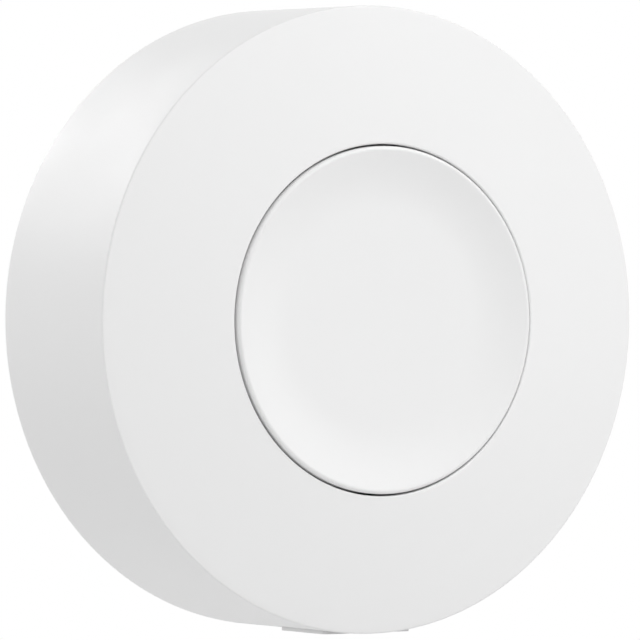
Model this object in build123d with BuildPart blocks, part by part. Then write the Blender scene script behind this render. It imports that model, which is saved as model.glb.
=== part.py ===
"""A round smart button for a wall, in millimetres.

The wall is the plane Y = 0, the front faces -Y and +Z is up. A depth is a distance in front of the wall.
"""

from math import cos, hypot, radians, sin, sqrt
import os

from build123d import *

os.makedirs("parts", exist_ok=True)

# Clearances
overrun = 1.0
seat_gap = 0.05
slide_gap = 0.2

# Front cover
cover_wall = 1.6
face_rise = 2.5
rim_chamfer = 0.3
opening_radius = 17.4
opening_chamfer = 0.15
collar_wall = 1.2
collar_length = 3.5
rear_chamfer = 0.4
boss_radius = 2.6
boss_bore_length = 4.2
rib_thickness = 1.0
rib_width = 3.6
guide_rib_width = 2.6
guide_rib_spare = 0.6
sink_share = 0.3
wall_rib_angles = [0, 60, 90, 120, 180, 240, 300]

# Button cap
cap_gap = 0.2
cap_plate = 1.3
cap_skirt_wall = 1.3
cap_edge_chamfer = 0.2
dish_depth = 1.1
dish_flat_radius = 11.0
press_travel = 0.5
tab_width = 5.0
tab_reach = 1.2
tab_thickness = 1.2
cap_rib_height = 1.2
cap_rib_thickness = 0.9
cap_rib_start = 5.6
cap_rib_count = 6
pusher_radius = 2.0
pusher_length = 0.5
retainer_count = 3
retainer_start_angle = 90

# Back plate and its adhesive pad
plate_floor = 1.6
pad_radius = 15.0
pad_thickness = 0.8
pad_proud = 0.3
ring_wall = 1.2
ring_height = 3.1
ring_chamfer = 0.4
plate_gap = 0.25
wall_screw_spacing = 40.0
wall_screw_radius = 2.1
wall_screw_head_radius = 3.6
wall_screw_seat_depth = 0.7
plate_rib_place = 15.0
plate_rib_length = 30.0
plate_rib_thickness = 1.2
plate_rib_height = 2.2
key_width = 3.0
key_reach = 0.8
key_length = 4.5

# Release tab
release_width = 10.2
release_thickness = 1.6
release_pad_length = 7.85
release_pad_setback = 0.95
release_pad_sink = 0.05
release_travel = 1.2
release_corner = 0.6
release_barrel_radius = 0.9
release_pivot_inset = 2.6
release_rear_gap = 0.15
release_front_gap = 0.25
release_foot = 1.9

# Cells
cell_radius = 5.25
cell_length = 44.5
cell_nub_radius = 1.9
cell_nub_length = 1.1
cell_chamfer = 0.3
cell_place = 5.9
cell_floor_gap = 0.3

# Battery tray
tray_floor = 0.65
tray_side_wall = 1.2
tray_end_wall = 1.3
tray_height = 8.7
tray_end_margin = 5.75
cell_groove_gap = 0.15
scoop_radius = 5.0
ear_radius = 3.0
ear_thickness = 1.2

# Contacts
contact_thickness = 0.35
contact_width = 7.6
contact_height = 7.4
contact_pocket_spare = 0.5
contact_dimple_radius = 1.5
contact_dimple = 0.3
leaf_width = 5.0
leaf_bow = 2.2
leaf_bend = 0.5
tail_width = 2.0
tail_stub = 0.4
tail_gap = 0.2

# Circuit board and its screws
board_margin = 2.4
board_thickness = 1.0
board_screw_inset = 3.15
board_screw_angle = 57.0
screw_radius = 0.95
screw_head_radius = 2.0
screw_head_height = 1.4
screw_engagement = 3.6

# Push switch
switch_size = 6.0
switch_base_height = 2.9
switch_frame_thickness = 0.3
switch_strap_width = 2.4
switch_well_radius = 2.45
switch_well_floor = 1.0
plunger_radius = 1.7
plunger_top = 4.3
plunger_flange_radius = 2.2
plunger_flange = 0.5
dome_sheet = 0.12
dome_height = 0.55
dome_sheet_radius = 2.2
dome_flat_radius = 1.1

# Parts on the board
module_width = 12.0
module_height = 9.5
module_gap = 1.55
module_thickness = 0.8
shield_margin = 0.7
shield_height = 1.8
shield_fillet = 0.3
antenna_length = 15.0
antenna_height = 2.6
antenna_strip = 0.9
antenna_thickness = 0.3
antenna_leg_pitch = 3.2
chip_size = 5.0
chip_height = 0.9
chip_gap = 4.0
chip_drop = 4.5
chip_lead = 0.45
chip_lead_width = 0.35
chip_lead_thickness = 0.2
chip_leads = 5
crystal_length = 3.2
crystal_width = 2.5
crystal_height = 0.7
crystal_gap = 5.9
crystal_rise = 1.0
capacitor_length = 2.0
capacitor_width = 1.25
capacitor_height = 0.85
capacitor_gap = 5.5
capacitor_drop = 3.0
capacitor_pitch = 2.6
capacitor_count = 4
light_length = 1.6
light_width = 0.8
light_height = 0.6
light_inset = 5.5

# Reset key
reset_size = 4.6
reset_height = 1.6
reset_gap = 2.7
reset_plunger_radius = 1.0
reset_plunger_proud = 1.0
reset_flange_radius = 1.5
reset_flange = 0.3
reset_travel = 0.3
reset_well_floor = 0.3

# Depths that stack up from the wall
cover_rear = pad_proud
floor_front = pad_proud + plate_floor
ring_front = floor_front + ring_height
cell_axis = floor_front + cell_floor_gap + cell_radius
board_rear = cell_axis + cell_radius + cell_groove_gap + tray_floor
board_front = board_rear + board_thickness
tray_rear = board_rear - tray_height
pusher_end = board_front + plunger_top + seat_gap
cap_underside = pusher_end + pusher_length
dish_floor = cap_underside + cap_plate
cap_rim_depth = dish_floor + dish_depth
edge_depth = cap_rim_depth + seat_gap
rim_depth = edge_depth - face_rise
collar_end = edge_depth - collar_length
tab_front = collar_end - seat_gap
skirt_end = tab_front - tab_thickness

# The cells with their contacts and the tray set the cover's radius, and the cover's wall the plate's and the board's
contact_face = (cell_length + contact_dimple + leaf_bow + 2 * seat_gap) / 2
pocket_end = contact_face + contact_thickness + seat_gap
cell_front_end = contact_face - contact_dimple - seat_gap
cell_rear_end = cell_front_end - cell_length
tray_half_length = pocket_end + tray_end_wall
tray_half_height = cell_place + cell_radius + cell_groove_gap + tray_side_wall
contact_rear = board_rear - tray_floor - seat_gap - contact_height
cover_radius = tray_half_length + tray_end_margin
inner_radius = cover_radius - cover_wall
rib_start = inner_radius - rib_width
plate_radius = inner_radius - plate_gap
tray_clip_radius = plate_radius - ring_wall - plate_gap
board_radius = inner_radius - board_margin
boss_reach = board_radius - board_screw_inset
board_screw_spacing_x = 2 * boss_reach * cos(radians(board_screw_angle))
board_screw_spacing_z = 2 * boss_reach * sin(radians(board_screw_angle))
boss_bore_radius = screw_radius + seat_gap
screw_hole_radius = screw_radius + slide_gap

# The domed face is a sphere through its rim and the edge of the button's opening
rim_to_centre = ((cover_radius**2 - opening_radius**2) / face_rise - face_rise) / 2
dome_centre = rim_depth - rim_to_centre
dome_radius = hypot(cover_radius, rim_to_centre)

collar_radius = opening_radius + collar_wall
guide_end = collar_radius + guide_rib_width
cap_radius = opening_radius - cap_gap
cap_inner_radius = cap_radius - cap_skirt_wall
dish_arc_radius = ((cap_radius - dish_flat_radius) ** 2 + dish_depth**2) / (2 * dish_depth)
release_front = rim_depth - release_pad_setback
release_pad_rear = release_front - release_pad_length
notch_width = release_width + 2 * slide_gap
notch_front = release_front + release_front_gap
pivot_drop = cover_radius - release_pivot_inset
pivot_depth = cover_rear + release_rear_gap + release_barrel_radius

# Places on the board, from what lies beside each part
module_place = switch_size / 2 + module_gap + module_height / 2
antenna_place = (guide_end + rib_start) / 2
chip_place_x = -(switch_size / 2 + chip_gap + chip_size / 2)
chip_place_z = -(switch_size / 2 + chip_drop)
crystal_place_x = -(switch_size / 2 + crystal_gap + crystal_length / 2)
crystal_place_z = switch_size / 2 + crystal_rise
capacitor_row_x = switch_size / 2 + capacitor_gap + capacitor_length / 2
capacitor_row_z = -(switch_size / 2 + capacitor_drop)
light_place = light_inset - board_radius
reset_place = -(tray_half_height + reset_gap + reset_size / 2)


def depth_plane(depth):
    """The plane parallel to the wall at a depth, with X to the right, Z up and its normal to the front."""
    return Plane.XZ.offset(depth)


def section_at(angle):
    """The half plane through the button's axis: first coordinate the radius, second the depth."""
    across = (cos(radians(angle)), 0, sin(radians(angle)))
    normal = (sin(radians(angle)), 0, -cos(radians(angle)))
    return Plane(origin=(0, 0, 0), x_dir=across, z_dir=normal)


def dome_depth(radius, inset=0):
    """Depth of the domed face at a radius, or of the sphere that lies inset behind it."""
    return dome_centre + sqrt((dome_radius - inset) ** 2 - radius**2)


def dome_arc(start_radius, end_radius):
    """The face's section between two radii, inside a BuildLine."""
    middle_radius = (start_radius + end_radius) / 2
    return ThreePointArc(
        (start_radius, dome_depth(start_radius)),
        (middle_radius, dome_depth(middle_radius)),
        (end_radius, dome_depth(end_radius)),
    )


def underside_depth(radius):
    """Depth of the cap's underside where it follows the dish's rising edge."""
    outer_arc = dish_arc_radius + cap_plate
    return dish_floor + dish_arc_radius - sqrt(outer_arc**2 - (radius - dish_flat_radius) ** 2)


def corner(sketch, across, up):
    """The vertex of a sketch that is nearest to a point."""
    return sketch.vertices().sort_by_distance((across, up, 0))[0]


def finish(piece, name):
    """Label a finished piece and write it."""
    piece.part.label = name
    export_step(piece.part, f"parts/{name}.step")


# Front cover: a deep cup with a domed face, a collar that guides the cap, bosses for the board, and ribs
with BuildPart() as front_cover:
    with BuildSketch(section_at(0)) as cover_section:
        with BuildLine():
            Polyline((inner_radius, cover_rear), (cover_radius, cover_rear), (cover_radius, rim_depth))
            dome_arc(cover_radius, opening_radius)
            Polyline(
                (opening_radius, edge_depth),
                (opening_radius, collar_end),
                (collar_radius, collar_end),
                (collar_radius, dome_depth(collar_radius, cover_wall)),
                (inner_radius, dome_depth(inner_radius, cover_wall)),
                (inner_radius, cover_rear),
            )
        make_face()
        chamfer(corner(cover_section, cover_radius, rim_depth), rim_chamfer)
        chamfer(corner(cover_section, opening_radius, edge_depth), opening_chamfer)
        chamfer(corner(cover_section, inner_radius, cover_rear), rear_chamfer)
    revolve(axis=Axis.Y)

    # Bosses that the board is screwed to
    boss_front = dome_depth(boss_reach + boss_radius, sink_share * cover_wall)
    with BuildSketch(depth_plane(board_front)):
        with GridLocations(board_screw_spacing_x, board_screw_spacing_z, 2, 2):
            Circle(boss_radius)
    extrude(amount=boss_front - board_front)
    with BuildSketch(depth_plane(board_front)):
        with GridLocations(board_screw_spacing_x, board_screw_spacing_z, 2, 2):
            Circle(boss_bore_radius)
    extrude(amount=boss_bore_length, mode=Mode.SUBTRACT)

    # Ribs in the corner between the wall and the face, which the board's edge rests on
    rib_end = inner_radius + sink_share * cover_wall
    for angle in wall_rib_angles:
        with BuildSketch(section_at(angle)):
            with BuildLine():
                Polyline(
                    (rib_start, board_front),
                    (rib_end, board_front),
                    (rib_end, dome_depth(rib_end, sink_share * cover_wall)),
                    (rib_start, dome_depth(rib_start, cover_wall - sink_share * cover_wall)),
                    close=True,
                )
            make_face()
        extrude(amount=rib_thickness / 2, both=True)

    # Pairs of guide ribs that keep the cap's retaining tabs from turning
    guide_start = opening_radius + slide_gap
    guide_offset = tab_width / 2 + slide_gap + rib_thickness / 2
    guide_rear = skirt_end - press_travel - guide_rib_spare
    with BuildSketch(depth_plane(guide_rear)):
        with PolarLocations((guide_start + guide_end) / 2, retainer_count, start_angle=retainer_start_angle):
            with Locations((0, guide_offset), (0, -guide_offset)):
                Rectangle(guide_end - guide_start, rib_thickness)
    guide_front = dome_depth(hypot(guide_end, guide_offset + rib_thickness), sink_share * cover_wall)
    extrude(amount=guide_front - guide_rear)

    # Notch for the release tab, open at the rear edge, and deep enough for the tab to be pushed in
    notch_drop = cover_radius - release_thickness - release_travel - slide_gap
    notch_plane = Plane(origin=(0, 0, -notch_drop), x_dir=(1, 0, 0), z_dir=(0, 0, -1))
    notch_length = notch_front - cover_rear + overrun
    with BuildSketch(notch_plane) as notch_outline:
        with Locations((0, notch_front - notch_length / 2)):
            Rectangle(notch_width, notch_length)
        for side in (-1, 1):
            fillet(corner(notch_outline, side * notch_width / 2, notch_front), release_corner + slide_gap)
    extrude(amount=cover_radius + overrun - notch_drop, mode=Mode.SUBTRACT)

    # Grooves for the back plate's two keys
    with BuildSketch(depth_plane(cover_rear)):
        with PolarLocations(inner_radius, 2):
            Rectangle(2 * (key_reach + slide_gap - plate_gap), key_width + 2 * slide_gap)
    extrude(amount=key_length + slide_gap, mode=Mode.SUBTRACT)

finish(front_cover, "front_cover")

# Button cap: a dished plate with a skirt, stiffening ribs, a pusher for the switch and three retaining tabs
with BuildPart() as button_cap:
    with BuildSketch(section_at(0)) as cap_section:
        with BuildLine():
            Line((0, dish_floor), (dish_flat_radius, dish_floor))
            TangentArc((dish_flat_radius, dish_floor), (cap_radius, cap_rim_depth), tangent=(1, 0))
            Polyline(
                (cap_radius, cap_rim_depth),
                (cap_radius, skirt_end),
                (cap_inner_radius, skirt_end),
                (cap_inner_radius, underside_depth(cap_inner_radius)),
                (dish_flat_radius, cap_underside),
                (0, cap_underside),
                (0, dish_floor),
            )
        make_face()
        chamfer(corner(cap_section, cap_radius, cap_rim_depth), cap_edge_chamfer)
    revolve(axis=Axis.Y)

    rib_outer = cap_inner_radius + cap_skirt_wall / 2
    for place in range(cap_rib_count):
        with BuildSketch(section_at(place * 360 / cap_rib_count)):
            with BuildLine():
                Polyline(
                    (cap_rib_start, cap_underside - cap_rib_height),
                    (rib_outer, cap_underside - cap_rib_height),
                    (rib_outer, underside_depth(cap_inner_radius) + cap_plate / 2),
                    (dish_flat_radius, cap_underside + cap_plate / 2),
                    (cap_rib_start, cap_underside + cap_plate / 2),
                    close=True,
                )
            make_face()
        extrude(amount=cap_rib_thickness / 2, both=True)

    with BuildSketch(depth_plane(pusher_end)):
        Circle(pusher_radius)
    extrude(amount=cap_underside + cap_plate / 2 - pusher_end)

    tab_inner = cap_radius - cap_skirt_wall / 2
    tab_outer = cap_radius + tab_reach
    with BuildSketch(depth_plane(skirt_end)):
        with PolarLocations((tab_inner + tab_outer) / 2, retainer_count, start_angle=retainer_start_angle):
            Rectangle(tab_outer - tab_inner, tab_width)
    extrude(amount=tab_thickness)

finish(button_cap, "button_cap")

# Back plate: a shallow dish that stays on the wall
with BuildPart() as back_plate:
    with BuildSketch(section_at(0)) as plate_section:
        with BuildLine():
            Polyline(
                (0, pad_proud),
                (plate_radius, pad_proud),
                (plate_radius, ring_front),
                (plate_radius - ring_wall, ring_front),
                (plate_radius - ring_wall, floor_front),
                (0, floor_front),
                close=True,
            )
        make_face()
        chamfer(corner(plate_section, plate_radius, ring_front), ring_chamfer)
    revolve(axis=Axis.Y)

    # Keys that let the cover go on one way up
    with BuildSketch(depth_plane(pad_proud)):
        with PolarLocations(plate_radius, 2):
            Rectangle(2 * (key_reach - slide_gap), key_width)
    extrude(amount=key_length)

    # Ribs that stiffen the floor beside the cells
    with BuildSketch(depth_plane(floor_front)):
        with GridLocations(0, 2 * plate_rib_place, 1, 2):
            Rectangle(plate_rib_length, plate_rib_thickness)
    extrude(amount=plate_rib_height)

    # Pocket for the adhesive pad
    with BuildSketch(depth_plane(pad_proud)):
        Circle(pad_radius + slide_gap)
    extrude(amount=pad_thickness - pad_proud, mode=Mode.SUBTRACT)

    # Opening for the release tab, with a round seat for its rear edge
    opening_top = pivot_drop
    with BuildSketch(depth_plane(pad_proud)):
        with Locations((0, -opening_top - overrun)):
            Rectangle(notch_width, 2 * overrun)
    extrude(amount=ring_front - pad_proud, mode=Mode.SUBTRACT)
    ring_cut = plate_radius - pivot_drop + release_barrel_radius + ring_wall
    with BuildSketch(depth_plane(floor_front)):
        with Locations((0, -plate_radius + ring_cut / 2)):
            Rectangle(notch_width + 2 * slide_gap, ring_cut)
    extrude(amount=ring_height, mode=Mode.SUBTRACT)
    with BuildSketch(Plane.YZ):
        with Locations((-pivot_depth, -pivot_drop)):
            Circle(release_barrel_radius + seat_gap)
    extrude(amount=notch_width / 2, both=True, mode=Mode.SUBTRACT)

    # Holes for two wall screws, with seats for their heads
    with Locations(depth_plane(floor_front)):
        with GridLocations(wall_screw_spacing, 0, 2, 1):
            CounterBoreHole(wall_screw_radius, wall_screw_head_radius, wall_screw_seat_depth)

finish(back_plate, "back_plate")

with BuildPart() as adhesive_pad:
    with BuildSketch(depth_plane(0)):
        Circle(pad_radius)
    extrude(amount=pad_thickness)

finish(adhesive_pad, "adhesive_pad")

# Release tab: a tongue that continues the cover's round wall, with a flat pad for the thumb at its front
with BuildPart() as release_tab:
    tongue_inner = cover_radius - release_thickness
    tongue_rear = pivot_depth - release_barrel_radius
    with BuildSketch(depth_plane(tongue_rear)):
        Circle(cover_radius)
        with Locations((0, -tongue_inner + cover_radius)):
            Rectangle(2 * cover_radius, 2 * cover_radius, mode=Mode.SUBTRACT)
        with Locations((0, -cover_radius)):
            Rectangle(release_width, 2 * cover_radius, mode=Mode.INTERSECT)
    extrude(amount=release_front - tongue_rear)
    pad_height = release_thickness - release_pad_sink
    with BuildSketch(depth_plane(release_pad_rear)):
        with Locations((0, -tongue_inner - pad_height / 2)):
            Rectangle(release_width, pad_height)
    extrude(amount=release_pad_length)
    with BuildSketch(depth_plane(release_pad_rear)):
        with Locations((0, -tongue_inner - pad_height - overrun / 2)):
            Rectangle(release_width + 2 * overrun, overrun)
    extrude(amount=release_pad_length + overrun, mode=Mode.SUBTRACT)
    front_corners = release_tab.edges().filter_by(Axis.Z).group_by(Axis.Y)[0]
    fillet(front_corners, release_corner)

    # Foot that turns inwards to the rounded edge on which the tab pivots
    with BuildSketch(Plane.YZ):
        with Locations((-pivot_depth, -pivot_drop)):
            Circle(release_barrel_radius)
        foot_height = tongue_inner + release_thickness / 2 - pivot_drop
        with Locations((-tongue_rear - release_foot / 2, -pivot_drop - foot_height / 2)):
            Rectangle(release_foot, foot_height)
    extrude(amount=release_width / 2, both=True)

finish(release_tab, "release_tab")

# Circuit board
with BuildPart() as circuit_board:
    tail_places = [
        (contact_face + contact_thickness / 2, cell_place),
        (contact_face + contact_thickness / 2, -cell_place),
        (-contact_face - contact_thickness / 2, -cell_place),
    ]
    with BuildSketch(depth_plane(board_rear)):
        Circle(board_radius)
        with GridLocations(board_screw_spacing_x, board_screw_spacing_z, 2, 2):
            Circle(screw_hole_radius, mode=Mode.SUBTRACT)
        with Locations(*tail_places):
            Rectangle(contact_thickness + 2 * tail_gap, tail_width + 2 * tail_gap, mode=Mode.SUBTRACT)
    extrude(amount=board_thickness)

finish(circuit_board, "circuit_board")

with BuildPart() as board_screws:
    head_front = board_rear - ear_thickness
    with BuildSketch(depth_plane(head_front - screw_head_height)):
        with GridLocations(board_screw_spacing_x, board_screw_spacing_z, 2, 2):
            Circle(screw_head_radius)
    extrude(amount=screw_head_height)
    rear_edges = board_screws.edges().filter_by(GeomType.CIRCLE).group_by(Axis.Y)[-1]
    chamfer(rear_edges, screw_head_height / 3)
    with BuildSketch(depth_plane(head_front)):
        with GridLocations(board_screw_spacing_x, board_screw_spacing_z, 2, 2):
            Circle(screw_radius)
    extrude(amount=ear_thickness + board_thickness + screw_engagement)

finish(board_screws, "board_screws")

# Battery tray: two channels open to the rear, pockets for the contacts and four ears under the board's screws
with BuildPart() as battery_tray:
    with BuildSketch(depth_plane(tray_rear)):
        Circle(tray_clip_radius)
        Rectangle(2 * tray_half_length, 2 * tray_half_height, mode=Mode.INTERSECT)
    extrude(amount=tray_height)
    with BuildSketch(depth_plane(board_rear - ear_thickness)):
        arm_length = board_screw_spacing_z / 2 - tray_half_height + tray_side_wall
        with GridLocations(board_screw_spacing_x, board_screw_spacing_z - arm_length, 2, 2):
            Rectangle(2 * ear_radius, arm_length)
        with GridLocations(board_screw_spacing_x, board_screw_spacing_z, 2, 2):
            Circle(ear_radius)
    extrude(amount=ear_thickness)
    with BuildSketch(depth_plane(board_rear - ear_thickness)):
        with GridLocations(board_screw_spacing_x, board_screw_spacing_z, 2, 2):
            Circle(screw_hole_radius)
    extrude(amount=ear_thickness, mode=Mode.SUBTRACT)

    # Channels for the cells
    groove_radius = cell_radius + cell_groove_gap
    with BuildSketch(Plane.YZ):
        with Locations((-cell_axis, cell_place), (-cell_axis, -cell_place)):
            Circle(groove_radius)
        with Locations((-cell_axis / 2, cell_place), (-cell_axis / 2, -cell_place)):
            Rectangle(cell_axis, 2 * groove_radius)
    extrude(amount=cell_front_end, both=True, mode=Mode.SUBTRACT)

    # Pockets for the contacts: two at the right, and one across both cells at the left
    pocket_start = contact_face - leaf_bow - seat_gap
    pocket_length = pocket_end - pocket_start
    pocket_middle = (pocket_start + pocket_end) / 2
    pocket_width = contact_width + contact_pocket_spare
    with BuildSketch(depth_plane(tray_rear)):
        with Locations((pocket_middle, cell_place), (pocket_middle, -cell_place)):
            Rectangle(pocket_length, pocket_width)
        with Locations((-pocket_middle, 0)):
            Rectangle(pocket_length, 2 * cell_place + pocket_width)
    extrude(amount=tray_height - tray_floor, mode=Mode.SUBTRACT)
    with BuildSketch(depth_plane(board_rear - tray_floor)):
        with Locations(*tail_places):
            Rectangle(contact_thickness + 2 * tail_gap, tail_width + 2 * tail_gap)
    extrude(amount=tray_floor, mode=Mode.SUBTRACT)

    # Scoops for a finger, to lift the cells
    with BuildSketch(section_at(0)):
        with Locations((0, tray_rear)):
            Circle(scoop_radius)
    extrude(amount=tray_half_height, both=True, mode=Mode.SUBTRACT)

finish(battery_tray, "battery_tray")


def make_cell(name, side):
    """A cell whose positive end points to +X on the upper side and to -X on the lower side."""
    with BuildPart() as cell:
        with BuildSketch(Plane.YZ.offset(side * cell_rear_end)):
            with Locations((-cell_axis, side * cell_place)):
                Circle(cell_radius)
        extrude(amount=side * (cell_length - cell_nub_length))
        chamfer(cell.edges().filter_by(GeomType.CIRCLE), cell_chamfer)
        with BuildSketch(Plane.YZ.offset(side * (cell_front_end - cell_nub_length))):
            with Locations((-cell_axis, side * cell_place)):
                Circle(cell_nub_radius)
        extrude(amount=side * cell_nub_length)
    finish(cell, name)


make_cell("battery_upper", 1)
make_cell("battery_lower", -1)


def contact_sheet(side, place, width):
    """The flat part of a contact, against the tray's end wall, inside a BuildPart."""
    with BuildSketch(depth_plane(contact_rear)) as sheet:
        with Locations((side * (contact_face + contact_thickness / 2), place)):
            Rectangle(contact_thickness, width)
    extrude(sheet.sketch, amount=contact_height)


def contact_tail(side, place):
    """The narrow tail that a contact is soldered to the board by, inside a BuildPart."""
    with BuildSketch(depth_plane(contact_rear)) as tail:
        with Locations((side * (contact_face + contact_thickness / 2), place)):
            Rectangle(contact_thickness, tail_width)
    extrude(tail.sketch, amount=board_front + tail_stub - contact_rear)


def contact_dimple_boss(side, place):
    """The raised spot that meets a cell's positive nub, inside a BuildPart."""
    with BuildSketch(Plane.YZ.offset(side * contact_face)) as dimple:
        with Locations((-cell_axis, place)):
            Circle(contact_dimple_radius)
    extrude(dimple.sketch, amount=-side * contact_dimple)


def contact_leaf(side, place):
    """The bowed leaf that presses on a cell's negative end, inside a BuildPart."""
    root = contact_face + contact_thickness / 2
    crest = contact_face - leaf_bow + contact_thickness / 2
    with BuildSketch(Plane(origin=(0, 0, place), x_dir=(side, 0, 0), z_dir=(0, 0, -side))) as leaf:
        with BuildLine() as leaf_line:
            FilletPolyline(
                (root, contact_rear + contact_height / 2),
                (root, contact_rear - contact_thickness),
                (crest, cell_axis - contact_height / 8),
                (crest, cell_axis + contact_height / 8),
                (root - contact_thickness - seat_gap, contact_rear + contact_height * 7 / 8),
                radius=leaf_bend,
            )
        trace(leaf_line.line, contact_thickness)
    extrude(leaf.sketch, amount=leaf_width / 2, both=True)


with BuildPart() as plate_contact:
    contact_sheet(1, cell_place, contact_width)
    contact_tail(1, cell_place)
    contact_dimple_boss(1, cell_place)

finish(plate_contact, "plate_contact")

with BuildPart() as spring_contact:
    contact_sheet(1, -cell_place, contact_width)
    contact_tail(1, -cell_place)
    contact_leaf(1, -cell_place)

finish(spring_contact, "spring_contact")

with BuildPart() as bridge_contact:
    contact_sheet(-1, 0, 2 * cell_place + contact_width)
    contact_tail(-1, -cell_place)
    contact_dimple_boss(-1, -cell_place)
    contact_leaf(-1, cell_place)

finish(bridge_contact, "bridge_contact")

# Push switch under the cap
with BuildPart() as switch_base:
    with BuildSketch(depth_plane(board_front)):
        RectangleRounded(switch_size, switch_size, switch_size / 12)
    extrude(amount=switch_base_height)
    with BuildSketch(depth_plane(board_front + switch_well_floor)):
        Circle(switch_well_radius)
    extrude(amount=switch_base_height - switch_well_floor, mode=Mode.SUBTRACT)

finish(switch_base, "switch_base")

with BuildPart() as switch_frame:
    frame_rear = board_front + switch_base_height
    with BuildSketch(depth_plane(frame_rear)):
        Rectangle(switch_size + 2 * switch_frame_thickness, switch_strap_width)
        Rectangle(switch_size, switch_size)
        Circle(plunger_radius + seat_gap, mode=Mode.SUBTRACT)
    extrude(amount=switch_frame_thickness)
    with BuildSketch(depth_plane(board_front)):
        with GridLocations(switch_size + switch_frame_thickness, 0, 2, 1):
            Rectangle(switch_frame_thickness, switch_strap_width)
    extrude(amount=switch_base_height)

finish(switch_frame, "switch_frame")

with BuildPart() as switch_plunger:
    flange_front = board_front + switch_base_height - seat_gap
    with BuildSketch(depth_plane(flange_front - plunger_flange)):
        Circle(plunger_flange_radius)
    extrude(amount=plunger_flange)
    with BuildSketch(depth_plane(flange_front)):
        Circle(plunger_radius)
    extrude(amount=board_front + plunger_top - flange_front)
    chamfer(switch_plunger.faces().sort_by(Axis.Y)[0].edges(), plunger_radius / 10)

finish(switch_plunger, "switch_plunger")

with BuildPart() as switch_dome:
    dome_rear = board_front + switch_well_floor
    dome_front = dome_rear + dome_height
    with BuildSketch(section_at(0)):
        with BuildLine():
            Polyline(
                (0, dome_front),
                (dome_flat_radius, dome_front),
                (dome_sheet_radius, dome_rear),
                (dome_sheet_radius, dome_rear + dome_sheet),
                (dome_flat_radius, dome_front + dome_sheet),
                (0, dome_front + dome_sheet),
                close=True,
            )
        make_face()
    revolve(axis=Axis.Y)

finish(switch_dome, "switch_dome")

# Radio module and its shield
with BuildPart() as radio_module:
    with BuildSketch(depth_plane(board_front)):
        with Locations((0, module_place)):
            Rectangle(module_width, module_height)
    extrude(amount=module_thickness)

finish(radio_module, "radio_module")

with BuildPart() as radio_shield:
    with BuildSketch(depth_plane(board_front + module_thickness)):
        with Locations((0, module_place)):
            Rectangle(module_width - 2 * shield_margin, module_height - 2 * shield_margin)
    extrude(amount=shield_height)
    fillet(radio_shield.faces().sort_by(Axis.Y)[0].edges(), shield_fillet)

finish(radio_shield, "radio_shield")

# Antenna: a folded strip on two legs
with BuildPart() as antenna:
    left_end = -antenna_length / 2
    with BuildSketch(Plane.XZ.offset(board_front + antenna_height - antenna_strip)):
        with Locations((0, antenna_place)):
            Rectangle(antenna_length, antenna_thickness)
    extrude(amount=antenna_strip)
    with BuildSketch(depth_plane(board_front)):
        leg_places = [left_end + antenna_strip / 2, left_end + antenna_strip / 2 + antenna_leg_pitch]
        with Locations(*[(place, antenna_place) for place in leg_places]):
            Rectangle(antenna_strip, antenna_thickness)
    extrude(amount=antenna_height)

finish(antenna, "antenna")

with BuildPart() as controller_chip:
    with BuildSketch(depth_plane(board_front + chip_lead_thickness)):
        with Locations((chip_place_x, chip_place_z)):
            Rectangle(chip_size, chip_size)
    extrude(amount=chip_height)
    with BuildSketch(depth_plane(board_front)):
        with Locations((chip_place_x, chip_place_z)):
            with GridLocations(0, chip_size / chip_leads, 1, chip_leads):
                Rectangle(chip_size + 2 * chip_lead, chip_lead_width)
    extrude(amount=chip_lead_thickness)

finish(controller_chip, "controller_chip")

with BuildPart() as crystal:
    with BuildSketch(depth_plane(board_front)):
        with Locations((crystal_place_x, crystal_place_z)):
            RectangleRounded(crystal_length, crystal_width, crystal_width / 6)
    extrude(amount=crystal_height)

finish(crystal, "crystal")

with BuildPart() as chip_capacitors:
    with BuildSketch(depth_plane(board_front)):
        with Locations((capacitor_row_x, capacitor_row_z)):
            with GridLocations(0, capacitor_pitch, 1, capacitor_count):
                Rectangle(capacitor_length, capacitor_width)
    extrude(amount=capacitor_height)

finish(chip_capacitors, "chip_capacitors")

with BuildPart() as status_light:
    with BuildSketch(depth_plane(board_front)):
        with Locations((0, light_place)):
            Rectangle(light_length, light_width)
    extrude(amount=light_height)

finish(status_light, "status_light")

# Reset key on the board's rear
with BuildPart() as reset_base:
    reset_rear = board_rear - reset_height
    with BuildSketch(depth_plane(reset_rear)):
        with Locations((0, reset_place)):
            RectangleRounded(reset_size, reset_size, reset_size / 12)
            Circle(reset_plunger_radius + seat_gap, mode=Mode.SUBTRACT)
    extrude(amount=reset_height - reset_well_floor)
    with BuildSketch(depth_plane(board_rear - reset_well_floor)):
        with Locations((0, reset_place)):
            RectangleRounded(reset_size, reset_size, reset_size / 12)
    extrude(amount=reset_well_floor)
    with BuildSketch(depth_plane(board_rear - reset_well_floor)):
        with Locations((0, reset_place)):
            Circle(reset_flange_radius + slide_gap)
    extrude(amount=-(reset_flange + reset_travel + 2 * seat_gap), mode=Mode.SUBTRACT)

finish(reset_base, "reset_base")

with BuildPart() as reset_plunger:
    flange_rear = board_rear - reset_well_floor - reset_flange - reset_travel - seat_gap
    with BuildSketch(depth_plane(flange_rear)):
        with Locations((0, reset_place)):
            Circle(reset_flange_radius)
    extrude(amount=reset_flange)
    plunger_end = reset_rear - reset_plunger_proud
    with BuildSketch(depth_plane(plunger_end)):
        with Locations((0, reset_place)):
            Circle(reset_plunger_radius)
    extrude(amount=flange_rear - plunger_end)

finish(reset_plunger, "reset_plunger")
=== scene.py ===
"""Dresses the packed smart button: smooth pieces, real materials, a pale stage and the photograph's camera."""

from math import acos, cos, hypot, pi, radians, sin, sqrt, tan

import bmesh
import bpy
from mathutils import Matrix, Vector


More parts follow.
